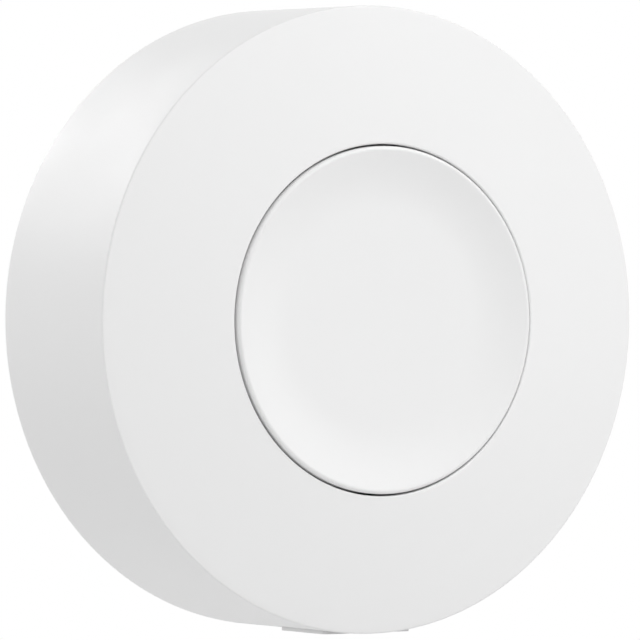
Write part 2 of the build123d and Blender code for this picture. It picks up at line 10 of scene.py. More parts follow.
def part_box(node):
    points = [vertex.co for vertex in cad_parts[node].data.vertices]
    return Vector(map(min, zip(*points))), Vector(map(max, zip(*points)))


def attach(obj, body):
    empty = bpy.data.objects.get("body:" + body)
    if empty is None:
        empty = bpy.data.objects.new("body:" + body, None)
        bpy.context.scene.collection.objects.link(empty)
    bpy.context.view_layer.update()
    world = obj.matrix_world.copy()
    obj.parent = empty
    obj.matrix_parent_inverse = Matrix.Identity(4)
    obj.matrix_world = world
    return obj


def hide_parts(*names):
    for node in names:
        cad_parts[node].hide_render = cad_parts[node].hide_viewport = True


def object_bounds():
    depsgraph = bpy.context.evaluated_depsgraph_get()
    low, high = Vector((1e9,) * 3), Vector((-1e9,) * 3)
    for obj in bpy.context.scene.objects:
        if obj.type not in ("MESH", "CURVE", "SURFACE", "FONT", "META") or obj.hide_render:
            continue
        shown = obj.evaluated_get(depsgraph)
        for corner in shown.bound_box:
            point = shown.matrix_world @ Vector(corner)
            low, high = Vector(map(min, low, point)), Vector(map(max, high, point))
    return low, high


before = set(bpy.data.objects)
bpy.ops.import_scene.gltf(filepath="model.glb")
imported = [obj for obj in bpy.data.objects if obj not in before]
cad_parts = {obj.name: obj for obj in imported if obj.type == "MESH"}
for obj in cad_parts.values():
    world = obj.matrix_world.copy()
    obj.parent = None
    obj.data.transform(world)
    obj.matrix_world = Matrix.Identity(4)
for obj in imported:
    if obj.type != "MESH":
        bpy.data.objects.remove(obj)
CAD_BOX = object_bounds()

bl_info = {
    "name": "Smart Button Builder",
    "version": (1, 0, 0),
    "blender": (4, 5, 0),
    "location": "View3D > Sidebar > Smart Button",
    "description": "Builds a round push button unit with its cover, cap, tab, cells and board",
    "category": "Add Mesh",
}

MM = 0.001


def node_box(name):
    """Lowest and highest corner of a CAD node, as vectors."""
    low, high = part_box(name)
    return Vector(low), Vector(high)


COVER_LOW, COVER_HIGH = node_box("front_cover")
CAP_LOW, CAP_HIGH = node_box("button_cap")
TAB_LOW, TAB_HIGH = node_box("release_tab")
SCREWS_LOW, SCREWS_HIGH = node_box("board_screws")
COVER_RADIUS = COVER_HIGH.x
# Depths are distances in front of the wall, as in the CAD
COVER_REAR = -COVER_HIGH.y
BOARD_FRONT = -node_box("circuit_board")[0].y

# Roundings of moulded and rolled edges, and of inner corners
FINE_EDGE = 0.1 * MM
SOFT_EDGE = 0.15 * MM
FILLET = 0.3 * MM

# The bodies and material slots of the pieces that make up the cover and the cap
COVER_PART = ("front_unit", "cover_plastic")
CAP_PART = ("button", "button_plastic")


# Sizes and colours a user would change

def length_property(name, description, default):
    """A length in metres, shown in the scene's unit."""
    return bpy.props.FloatProperty(
        name=name, description=description, default=default, min=0, unit="LENGTH", subtype="DISTANCE", precision=5
    )


def colour_property(name, description, default):
    """An sRGB colour written as hex."""
    return bpy.props.StringProperty(name=name, description=description, default=default)


class CoverSizes(bpy.types.PropertyGroup):
    """Sizes of the moulded front cover."""

    face_rise: length_property("Face rise", "How far the domed face rises from the rim to the opening", 2.24 * MM)
    setback: length_property("Setback", "How far the opening's edge lies behind the CAD cap's edge", 0.21 * MM)
    wall: length_property("Wall", "Thickness of the moulded wall", 1.6 * MM)
    rim_radius: length_property("Rim radius", "Rounding between the side wall and the face", 0.2 * MM)
    opening: length_property("Opening", "Radius of the button's opening", 17.33 * MM)
    opening_round: length_property("Opening rounding", "Rounding of the opening's edge", 0.18 * MM)
    collar_wall: length_property("Collar wall", "Thickness of the collar behind the opening", 1.2 * MM)
    collar_length: length_property("Collar length", "Depth of the collar from the opening's edge", 3.5 * MM)
    rear_round: length_property("Rear rounding", "Rounding of the edge at the wall", 0.3 * MM)
    segments: bpy.props.IntProperty(name="Segments", description="Faces round the cover", default=384, min=32)


class CapSizes(bpy.types.PropertyGroup):
    """Sizes of the dished push cap."""

    radius: length_property("Radius", "Radius of the cap", 17.13 * MM)
    dish_depth: length_property("Dish depth", "How deep the dish is below its edge", 1.1 * MM)
    proud: length_property("Proud", "How far the cap's edge stands before the CAD cap's", 0.2 * MM)
    flat_radius: length_property("Flat radius", "Radius of the dish's flat middle", 11.0 * MM)
    edge_round: length_property("Edge rounding", "Rounding of the cap's edge", 0.35 * MM)
    plate: length_property("Plate", "Thickness of the dished plate", 1.3 * MM)
    skirt_wall: length_property("Skirt wall", "Thickness of the skirt", 1.3 * MM)
    ribs: bpy.props.IntProperty(name="Ribs", description="Stiffening ribs under the plate", default=6, min=0)
    segments: bpy.props.IntProperty(name="Segments", description="Faces round the cap", default=320, min=32)


class InnerSizes(bpy.types.PropertyGroup):
    """Sizes of the cells, screws and small parts behind the cover."""

    cell_round: length_property("Cell rounding", "Rolled edge of a cell's can", 0.45 * MM)
    sleeve_start: length_property("Sleeve start", "Bare metal at each end of a cell's sleeve", 0.9 * MM)
    nub_radius: length_property("Nub radius", "Radius of a cell's positive end", 1.9 * MM)
    nub_length: length_property("Nub length", "Length of a cell's positive end", 1.1 * MM)
    screw_head: length_property("Screw head", "Radius of the board screws' heads", 2.0 * MM)
    screw_shank: length_property("Screw shank", "Radius of the board screws' shanks", 0.95 * MM)
    recess_width: length_property("Recess width", "Width of the cross recess's arms", 0.55 * MM)
    recess_depth: length_property("Recess depth", "Depth of the cross recess", 0.7 * MM)
    edge_round: length_property("Edge rounding", "Rounding of small moulded edges", 0.12 * MM)


class Finishes(bpy.types.PropertyGroup):
    """Colours of the button's materials, as sRGB hex."""

    cover: colour_property("Cover", "Satin white of the cover", "#EDEDED")
    cap: colour_property("Cap", "Satin white of the push cap", "#EDEDED")
    # The tab's white is a little darker than the cover's. This is painted shade: it makes the tab's edge under the
    # cover's rim look like the shaded strip there.
    tab: colour_property("Tab", "White of the release tab", "#DEDEDE")
    plate: colour_property("Plate", "White of the back plate", "#E5E5E4")
    mask: colour_property("Solder mask", "Green of the circuit board", "#14502E")
    sleeve: colour_property("Sleeve", "Colour of the cells' sleeve", "#2E3A44")
    band: colour_property("Band", "Colour of the band at a cell's positive end", "#B9BDC0")


class StageSizes(bpy.types.PropertyGroup):
    """The stage's floor, camera and lamps."""

    floor_radius: length_property("Floor radius", "Radius of the floor disc", 0.55)
    floor_drop: length_property("Floor drop", "How far the floor lies below the button", 80 * MM)
    camera_yaw: bpy.props.FloatProperty(
        name="Camera yaw", description="Angle of the camera from the front, to the left", default=radians(32.925),
        subtype="ANGLE",
    )
    camera_pitch: bpy.props.FloatProperty(
        name="Camera pitch", description="Angle of the camera above level", default=radians(0.818), subtype="ANGLE"
    )
    camera_distance: length_property("Camera distance", "From the camera to the rim's middle", 656.6 * MM)
    aim_behind: length_property("Aim behind", "How far the rim's middle lies behind the cap's edge", 2.45 * MM)
    aim_left: length_property("Aim left", "How far to the left of the rim's middle the camera aims", 5.193 * MM)
    aim_down: length_property("Aim down", "How far below the rim's middle the camera aims", 0.018 * MM)
    lens: bpy.props.FloatProperty(name="Lens", description="Focal length on a 36 mm sensor", default=374.3, min=1)
    ambient: bpy.props.FloatProperty(
        name="Ambient", description="Strength of the world's even light", default=0.2, min=0
    )


SIZE_GROUPS = {
    "button_cover": CoverSizes,
    "button_cap": CapSizes,
    "button_inner": InnerSizes,
    "button_finish": Finishes,
    "button_stage": StageSizes,
}


# Nodes and materials

def linear(hex_colour):
    """Turn an sRGB hex colour to linear RGBA."""
    values = [int(hex_colour.lstrip("#")[at:at + 2], 16) / 255 for at in (0, 2, 4)]
    return tuple(v / 12.92 if v <= 0.04045 else ((v + 0.055) / 1.055) ** 2.4 for v in values) + (1,)


def add_node(tree, kind, inputs=None, **settings):
    """Add a node with its settings, and set or link its inputs."""
    node = tree.nodes.new(kind)
    for key, value in settings.items():
        setattr(node, key, value)
    for key, value in (inputs or {}).items():
        if isinstance(value, bpy.types.NodeSocket):
            tree.links.new(value, node.inputs[key])
        else:
            node.inputs[key].default_value = value
    return node


def new_material(name, colour, roughness, metallic=0.0):
    """A material with a Principled BSDF; returns it with its tree, shader and object coordinates."""
    material = bpy.data.materials.new(name)
    material.use_nodes = True
    tree = material.node_tree
    shader = tree.nodes["Principled BSDF"]
    shader.inputs["Base Color"].default_value = linear(colour)
    shader.inputs["Roughness"].default_value = roughness
    shader.inputs["Metallic"].default_value = metallic
    material.diffuse_color = linear(colour)
    coordinates = add_node(tree, "ShaderNodeTexCoord").outputs["Object"]
    return material, tree, shader, coordinates


def add_grain(tree, shader, coordinates, size, height, detail=2.0):
    """Bump of a fine even grain of a real size and height, in metres."""
    noise = add_node(tree, "ShaderNodeTexNoise", {"Vector": coordinates, "Scale": 1 / size, "Detail": detail})
    bump = add_node(tree, "ShaderNodeBump", {"Height": noise.outputs["Fac"], "Distance": height, "Strength": 1.0})
    tree.links.new(bump.outputs["Normal"], shader.inputs["Normal"])
    return noise


def vary_roughness(tree, shader, coordinates, size, low, high):
    """Slow drift of the roughness, as handling and moulding leave it."""
    noise = add_node(tree, "ShaderNodeTexNoise", {"Vector": coordinates, "Scale": 1 / size, "Detail": 3.0})
    spread = add_node(
        tree, "ShaderNodeMapRange", {"Value": noise.outputs["Fac"], "From Min": 0.3, "From Max": 0.7,
                                     "To Min": low, "To Max": high},
    )
    tree.links.new(spread.outputs["Result"], shader.inputs["Roughness"])


def satin_abs(name, colour, low=0.42, high=0.5):
    """ABS moulded in a spark-eroded tool: an even white that scatters light softly, with no visible grain."""
    material, tree, shader, coordinates = new_material(name, colour, (low + high) / 2)
    shader.inputs["IOR"].default_value = 1.5
    shader.inputs["Specular IOR Level"].default_value = 0.4
    # The eroded grain is about 0.05 mm, drawn at 0.15 mm so that it shows when near
    add_grain(tree, shader, coordinates, 0.15 * MM, 0.0008 * MM)
    vary_roughness(tree, shader, coordinates, 12 * MM, low, high)
    return material


def moulded_nylon(name, colour, low=0.35, high=0.5):
    """Nylon moulded in a plain tool: a little shinier, with faint flow marks."""
    material, tree, shader, coordinates = new_material(name, colour, (low + high) / 2)
    shader.inputs["IOR"].default_value = 1.53
    add_grain(tree, shader, coordinates, 0.4 * MM, 0.003 * MM, detail=3.0)
    vary_roughness(tree, shader, coordinates, 5 * MM, low, high)
    return material


def drawn_metal(name, colour, roughness, grain_size, stretch=(1, 12, 1), height=0.001 * MM):
    """Sheet or bar metal with fine lines along the way it was rolled or drawn."""
    material, tree, shader, coordinates = new_material(name, colour, roughness, metallic=1.0)
    mapping = add_node(tree, "ShaderNodeMapping", {"Vector": coordinates, "Scale": stretch}, vector_type="POINT")
    add_grain(tree, shader, mapping.outputs["Vector"], grain_size, height, detail=3.0)
    vary_roughness(tree, shader, coordinates, 3 * MM, roughness * 0.8, roughness * 1.25)
    return material


def foam_tape(name, colour):
    """Acrylic foam tape: matt, soft grey, with closed cells of about 0.3 mm that show as fine pits."""
    material, tree, shader, coordinates = new_material(name, colour, 0.85)
    cells = add_node(tree, "ShaderNodeTexVoronoi", {"Vector": coordinates, "Scale": 1 / (0.35 * MM)})
    bump = add_node(tree, "ShaderNodeBump", {"Height": cells.outputs["Distance"], "Distance": 0.03 * MM})
    tree.links.new(bump.outputs["Normal"], shader.inputs["Normal"])
    return material


def solder_mask(name, colour, track_pitch=1.9 * MM):
    """Glass-epoxy laminate under solder mask: tracks show through as slightly lighter lines, with tinned vias."""
    material, tree, shader, coordinates = new_material(name, colour, 0.32)
    dark = linear(colour)
    light = tuple(channel * 1.45 + 0.004 for channel in dark[:3]) + (1,)
    flat = add_node(
        tree, "ShaderNodeMapping", {"Vector": coordinates, "Rotation": (pi / 2, 0, 0)}, vector_type="POINT"
    )
    turned_flat = add_node(
        tree, "ShaderNodeMapping", {"Vector": flat.outputs["Vector"], "Rotation": (0, 0, pi / 4)}, vector_type="POINT"
    )
    # Tracks are about 0.2 mm wide, and run straight or slanted, as an autorouter lays them
    layers = [
        add_node(
            tree, "ShaderNodeTexBrick",
            {"Vector": layer.outputs["Vector"], "Scale": 1.0, "Mortar Size": 0.1 * MM, "Mortar Smooth": 0.2,
             "Brick Width": length * track_pitch, "Row Height": rows * track_pitch},
            offset=0.37, offset_frequency=3, squash=0.5, squash_frequency=2,
        ).outputs["Fac"]
        for layer, length, rows in ((flat, 6.5, 1.0), (turned_flat, 5.2, 1.9))
    ]
    line = add_node(tree, "ShaderNodeMath", {0: layers[0], 1: layers[1]}, operation="MAXIMUM")
    tracks = add_node(tree, "ShaderNodeMix", {"Factor": line.outputs[0], 6: dark, 7: light}, data_type="RGBA")
    vias = add_node(
        tree, "ShaderNodeTexVoronoi", {"Vector": flat.outputs["Vector"], "Scale": 1 / (1.8 * track_pitch)}
    )
    # A via's ring is about 0.5 mm across
    dot = add_node(
        tree, "ShaderNodeMapRange",
        {"Value": vias.outputs["Distance"], "From Min": 0.07, "From Max": 0.085, "To Min": 1.0, "To Max": 0.0},
    )
    tin = add_node(
        tree, "ShaderNodeMix",
        {"Factor": dot.outputs["Result"], 6: tracks.outputs[2], 7: linear("#B9B6AB")}, data_type="RGBA",
    )
    tree.links.new(tin.outputs[2], shader.inputs["Base Color"])
    tree.links.new(dot.outputs["Result"], shader.inputs["Metallic"])
    bump = add_node(tree, "ShaderNodeBump", {"Height": line.outputs[0], "Distance": 0.02 * MM})
    tree.links.new(bump.outputs["Normal"], shader.inputs["Normal"])
    return material


def shrink_sleeve(name, colour):
    """Heat-shrunk PVC sleeve on a cell: smooth and glossy, with faint waves from the shrinking."""
    material, tree, shader, coordinates = new_material(name, colour, 0.28)
    shader.inputs["Coat Weight"].default_value = 0.4
    shader.inputs["Coat Roughness"].default_value = 0.15
    add_grain(tree, shader, coordinates, 2.5 * MM, 0.01 * MM, detail=1.0)
    return material


def fired_ceramic(name, colour):
    """Fired capacitor body: fine, matt and slightly mottled."""
    material, tree, shader, coordinates = new_material(name, colour, 0.6)
    noise = add_grain(tree, shader, coordinates, 0.12 * MM, 0.004 * MM)
    tone = add_node(
        tree, "ShaderNodeMix",
        {"Factor": noise.outputs["Fac"], 6: linear(colour), 7: linear("#9A7C58")}, data_type="RGBA",
    )
    tree.links.new(tone.outputs[2], shader.inputs["Base Color"])
    return material


def moulded_epoxy(name, colour):
    """Filled epoxy of a chip's package: near black, matt, with a fine sandy surface."""
    material, tree, shader, coordinates = new_material(name, colour, 0.55)
    add_grain(tree, shader, coordinates, 0.08 * MM, 0.004 * MM)
    return material


def clear_lens(name, colour):
    """Clear epoxy over a yellow phosphor: glossy and slightly milky."""
    material, tree, shader, coordinates = new_material(name, colour, 0.12)
    shader.inputs["Transmission Weight"].default_value = 0.35
    shader.inputs["IOR"].default_value = 1.5
    add_grain(tree, shader, coordinates, 0.3 * MM, 0.003 * MM)
    return material


MATERIALS = {}


def make_materials(finish):
    """Make every material once."""
    MATERIALS.update({
        "cover": satin_abs("Satin ABS cover", finish.cover),
        "cap": satin_abs("Satin ABS cap", finish.cap),
        # The tab's colour is darkened as painted shade of the strip under the cover's rim
        "tab": satin_abs("Satin ABS tab with painted shade", finish.tab),
        "plate": satin_abs("Plain ABS back plate", finish.plate, 0.35, 0.45),
        "foam": foam_tape("Acrylic foam tape", "#CECECC"),
        "mask": solder_mask("Solder mask on laminate", finish.mask),
        "module_mask": solder_mask("Blue solder mask", "#123A63", track_pitch=1.3 * MM),
        "tray": moulded_nylon("Black nylon tray", "#232426"),
        "black": moulded_nylon("Black nylon switch", "#161617"),
        "key": moulded_nylon("White nylon key", "#D9D9D6"),
        "zinc": drawn_metal("Zinc plated steel", "#BEC0C3", 0.32, 0.3 * MM, stretch=(1, 1, 1)),
        "nickel": drawn_metal("Nickel plated strip", "#C9C4BA", 0.24, 0.25 * MM),
        "steel": drawn_metal("Pressed stainless strip", "#BFC0C2", 0.28, 0.25 * MM),
        "tin": drawn_metal("Tinned shield sheet", "#C9C9C6", 0.38, 0.5 * MM, stretch=(1, 1, 4), height=0.004 * MM),
        "brass": drawn_metal("Stamped brass strip", "#C8A560", 0.3, 0.25 * MM),
        "can": drawn_metal("Nickel plated cell can", "#C4C2BC", 0.3, 0.3 * MM, stretch=(8, 1, 1)),
        "sleeve": shrink_sleeve("Shrink sleeve", finish.sleeve),
        "band": shrink_sleeve("Sleeve band", finish.band),
        "seal": moulded_nylon("Nylon cell seal", "#3A3B3D"),
        "ceramic": fired_ceramic("Fired ceramic", "#7E6244"),
        "epoxy": moulded_epoxy("Moulded epoxy", "#1C1C1D"),
        "lens": clear_lens("Clear epoxy lens", "#EDE6B4"),
    })


# Mesh helpers

def keep(name, mesh, materials, body, slot, *replaced):
    """Link a finished mesh as a piece that rides on a body."""
    piece = linked_object(name, mesh)
    if not mesh.materials:
        for key in materials:
            mesh.materials.append(MATERIALS[key])
    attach(piece, body)
    if replaced:
        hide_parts(*replaced)


def paint_node(node, key):
    """Give a CAD node's object its material."""
    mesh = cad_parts[node].data
    mesh.materials.clear()
    mesh.materials.append(MATERIALS[key])


def linked_object(name, data):
    """An object for a mesh, a lamp or a camera, linked to the scene."""
    loose = bpy.data.objects.new(name, data)
    bpy.context.scene.collection.objects.link(loose)
    return loose


def raw_mesh(made, name):
    """Turn a bmesh to a mesh and free it."""
    mesh = bpy.data.meshes.new(name)
    made.to_mesh(mesh)
    made.free()
    return mesh


def shade(mesh):
    """Smooth shading, with sharp edges where faces meet at over 30 degrees."""
    mesh.shade_smooth()
    mesh.set_sharp_from_angle(angle=radians(30))
    return mesh


def plain_mesh(made, name):
    """Turn a bmesh to a mesh with its normals outwards and its shading set."""
    bmesh.ops.recalc_face_normals(made, faces=made.faces)
    return shade(raw_mesh(made, name))


def evaluated_mesh(source):
    """A new plain mesh of an object with its modifiers applied."""
    bpy.context.view_layer.update()
    return bpy.data.meshes.new_from_object(source.evaluated_get(bpy.context.evaluated_depsgraph_get()))


def baked(source, name, flat_faces=False):
    """The evaluated mesh of an object, as a plain mesh; flat faces between roundings can keep flat shading."""
    mesh = evaluated_mesh(source)
    bpy.data.objects.remove(source)
    tidy = bmesh.new()
    tidy.from_mesh(mesh)
    bmesh.ops.dissolve_degenerate(tidy, dist=0.0005 * MM, edges=tidy.edges)
    tidy.to_mesh(mesh)
    tidy.free()
    shade(mesh)
    if flat_faces:
        loose = linked_object(name, mesh)
        weighted = loose.modifiers.new("Shading", "WEIGHTED_NORMAL")
        weighted.keep_sharp = True
        weighted.weight = 100
        mesh = evaluated_mesh(loose)
        bpy.data.objects.remove(loose)
    mesh.name = name
    return mesh


def spread(start, end, steps):
    """Even values from start to end, with both ends."""
    return [start + (end - start) * step / steps for step in range(steps + 1)]


def rounded(points, close=False):
    """Round the corners of a section: each point is (radius, depth, rounding), and a rounding of 0 stays a corner."""
    result = []
    count = len(points)
    for at, (x, y, rounding) in enumerate(points):
        if rounding == 0 or (not close and at in (0, count - 1)):
            result.append((x, y))
            continue
        corner = Vector((x, y))
        before = (Vector(points[at - 1][:2]) - corner).normalized()
        after = (Vector(points[(at + 1) % count][:2]) - corner).normalized()
        half = acos(max(-1, min(1, before.dot(after)))) / 2
        centre = corner + (before + after).normalized() * rounding / sin(half)
        start = corner + before * rounding / tan(half) - centre
        sweep = pi - 2 * half
        turn = 1 if start.y * before.x - start.x * before.y > 0 else -1
        steps = max(3, round(sweep / radians(11)))
        for step in range(steps + 1):
            angle = turn * sweep * step / steps
            result.append((
                centre.x + start.x * cos(angle) - start.y * sin(angle),
                centre.y + start.x * sin(angle) + start.y * cos(angle),
            ))
    return result


def front_axis(radius, depth, angle):
    """A point of a turned form whose axis is the button's own."""
    return Vector((radius * cos(angle), -depth, radius * sin(angle)))


def turned(section, segments, place=front_axis, material_of=None, closed=False):
    """Revolve a section into a new bmesh; points on the axis become one vertex."""
    made = bmesh.new()
    rings = []
    for radius, depth in section:
        if radius < 1e-7:
            rings.append([made.verts.new(place(0, depth, 0))] * segments)
        else:
            rings.append([made.verts.new(place(radius, depth, 2 * pi * at / segments)) for at in range(segments)])
    last = len(rings) if closed else len(rings) - 1
    for at in range(last):
        ring, after = rings[at], rings[(at + 1) % len(rings)]
        for here in range(segments):
            there = (here + 1) % segments
            corners = []
            for vertex in (ring[here], ring[there], after[there], after[here]):
                if vertex not in corners:
                    corners.append(vertex)
            if len(corners) > 2:
                face = made.faces.new(corners)
                face.material_index = material_of(at) if material_of else 0
    return made


def add_block(made, low, high):
    """A box between two corners; returns its vertices."""
    size = Vector(high) - Vector(low)
    middle = (Vector(high) + Vector(low)) / 2
    matrix = Matrix.Translation(middle) @ Matrix.Diagonal((*size, 1))
    return bmesh.ops.create_cube(made, size=1, matrix=matrix)["verts"]


def add_rib(made, outline, thick, offset=0.0):
    """A flat rib along +X from its outline of radius and depth."""
    near = [made.verts.new((r, -depth, offset - thick / 2)) for r, depth in outline]
    far = [made.verts.new((r, -depth, offset + thick / 2)) for r, depth in outline]
    made.faces.new(near)
    made.faces.new(far)
    for at in range(len(outline)):
        after = (at + 1) % len(outline)
        made.faces.new((near[at], near[after], far[after], far[at]))


def round_edges(mesh, name, width, segments=2):
    """Round a mesh's edges over 40 degrees and return the new mesh."""
    loose = linked_object(name, mesh)
    bevel = loose.modifiers.new("Edges", "BEVEL")
    bevel.width = width
    bevel.segments = segments
    bevel.limit_method = "ANGLE"
    bevel.angle_limit = radians(40)
    bevel.use_clamp_overlap = True
    return baked(loose, name, flat_faces=True)


def plain_form(made, name):
    """A loose object of a bmesh."""
    return linked_object(name, plain_mesh(made, name))


def soft_form(made, name, width):
    """A loose object of a bmesh with its edges rounded."""
    return linked_object(name, round_edges(plain_mesh(made, name), name, width))


def softened_copy(node, width, key, body, slot, segments=2):
    """Keep a merged copy of a CAD node, with its edges rounded, in the node's place."""
    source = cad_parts[node]
    made = bmesh.new()
    made.from_mesh(source.data)
    bmesh.ops.transform(made, matrix=source.matrix_world, verts=made.verts)
    bmesh.ops.remove_doubles(made, verts=made.verts, dist=0.002 * MM)
    bmesh.ops.dissolve_limit(made, angle_limit=radians(1), verts=made.verts, edges=made.edges)
    name = f"{node}_piece"
    mesh = round_edges(raw_mesh(made, name), name, width, segments)
    mesh.materials.clear()
    keep(name, mesh, [key], body, slot, node)


def cut(shell, made, label):
    """Subtract a closed form from an object at once, and leave the object a plain mesh."""
    bmesh.ops.recalc_face_normals(made, faces=made.faces)
    cutter = linked_object(label, raw_mesh(made, label))
    modifier = shell.modifiers.new(label, "BOOLEAN")
    modifier.operation = "DIFFERENCE"
    modifier.solver = "EXACT"
    modifier.object = cutter
    result = evaluated_mesh(shell)
    shell.modifiers.clear()
    shell.data = result
    bpy.data.objects.remove(cutter)


# Geometry Nodes patterns

def grid_points(tree, group):
    """Points on a grid in the board's plane."""
    grid = add_node(
        tree, "GeometryNodeMeshGrid",
        {"Size X": group["Width"], "Size Y": group["Height"], "Vertices X": group["Columns"],
         "Vertices Y": group["Rows"]},
    )
    upright = add_node(
        tree, "GeometryNodeTransform",
        {"Geometry": grid.outputs["Mesh"], "Translation": group["Place"], "Rotation": (pi / 2, 0, 0)},
    )
    return upright.outputs["Geometry"], None


def ring_points(tree, group):
    """Points on the button's axis, each turned to face another way outwards."""
    points = add_node(tree, "GeometryNodePoints", {"Count": group["Count"]})
    index = add_node(tree, "GeometryNodeInputIndex").outputs["Index"]
    share = add_node(tree, "ShaderNodeMath", {0: index, 1: group["Count"]}, operation="DIVIDE")
    angle = add_node(
        tree, "ShaderNodeMath", {0: share.outputs[0], 1: -2 * pi, 2: group["Start"]}, operation="MULTIPLY_ADD"
    )
    turn = add_node(tree, "ShaderNodeCombineXYZ", {"Y": angle.outputs[0]})
    return points.outputs[0], turn.outputs["Vector"]


# Each pattern: the function that makes its points, and its inputs
GRID = (
    grid_points,
    {"Width": "NodeSocketFloat", "Height": "NodeSocketFloat", "Columns": "NodeSocketInt", "Rows": "NodeSocketInt",
     "Place": "NodeSocketVector"},
)
RING = (ring_points, {"Count": "NodeSocketInt", "Start": "NodeSocketFloat"})


def pattern_tree(name, layout):
    """A node tree that sets copies of a form on points, realizes them and gives them a material."""
    make_points, own_inputs = layout
    tree = bpy.data.node_groups.new(name, "GeometryNodeTree")
    inputs = {
        "Geometry": "NodeSocketGeometry", "Form": "NodeSocketObject", "Material": "NodeSocketMaterial", **own_inputs
    }
    for label, kind in inputs.items():
        tree.interface.new_socket(label, in_out="INPUT", socket_type=kind)
    tree.interface.new_socket("Geometry", in_out="OUTPUT", socket_type="NodeSocketGeometry")
    group = add_node(tree, "NodeGroupInput").outputs
    points, turn = make_points(tree, group)
    form = add_node(tree, "GeometryNodeObjectInfo", {"Object": group["Form"]})
    instances = add_node(
        tree, "GeometryNodeInstanceOnPoints",
        {"Points": points, "Instance": form.outputs["Geometry"], **({"Rotation": turn} if turn else {})},
    )
    real = add_node(tree, "GeometryNodeRealizeInstances", {"Geometry": instances.outputs["Instances"]})
    painted = add_node(
        tree, "GeometryNodeSetMaterial", {"Geometry": real.outputs["Geometry"], "Material": group["Material"]}
    )
    add_node(tree, "NodeGroupOutput", {"Geometry": painted.outputs["Geometry"]})
    return tree


def repeat(name, layout, form, key, body, slot, *replaced, **values):
    """Repeat a form by Geometry Nodes and keep the plain mesh as a piece; the form is removed."""
    tree = pattern_tree(f"{name} pattern", layout)
    holder = linked_object(name, bpy.data.meshes.new(f"{name} holder"))
    modifier = holder.modifiers.new("Pattern", "NODES")
    modifier.node_group = tree
    sockets = {item.name: item.identifier for item in tree.interface.items_tree if item.in_out == "INPUT"}
    modifier[sockets["Form"]] = form
    modifier[sockets["Material"]] = MATERIALS[key]
    for label, value in values.items():
        modifier[sockets[label]] = value
    mesh = baked(holder, name)
    bpy.data.objects.remove(form)
    bpy.data.node_groups.remove(tree)
    keep(name, mesh, [], body, slot, *replaced)


def screw_grid(head):
    """The grid of the four board screws, from the radius of their heads."""
    return {
        "Width": 2 * (SCREWS_HIGH.x - head), "Height": 2 * (SCREWS_HIGH.z - head), "Columns": 2, "Rows": 2,
        "Place": (0.0, 0.0, 0.0),
    }


# Operators, one for each piece or group of like pieces

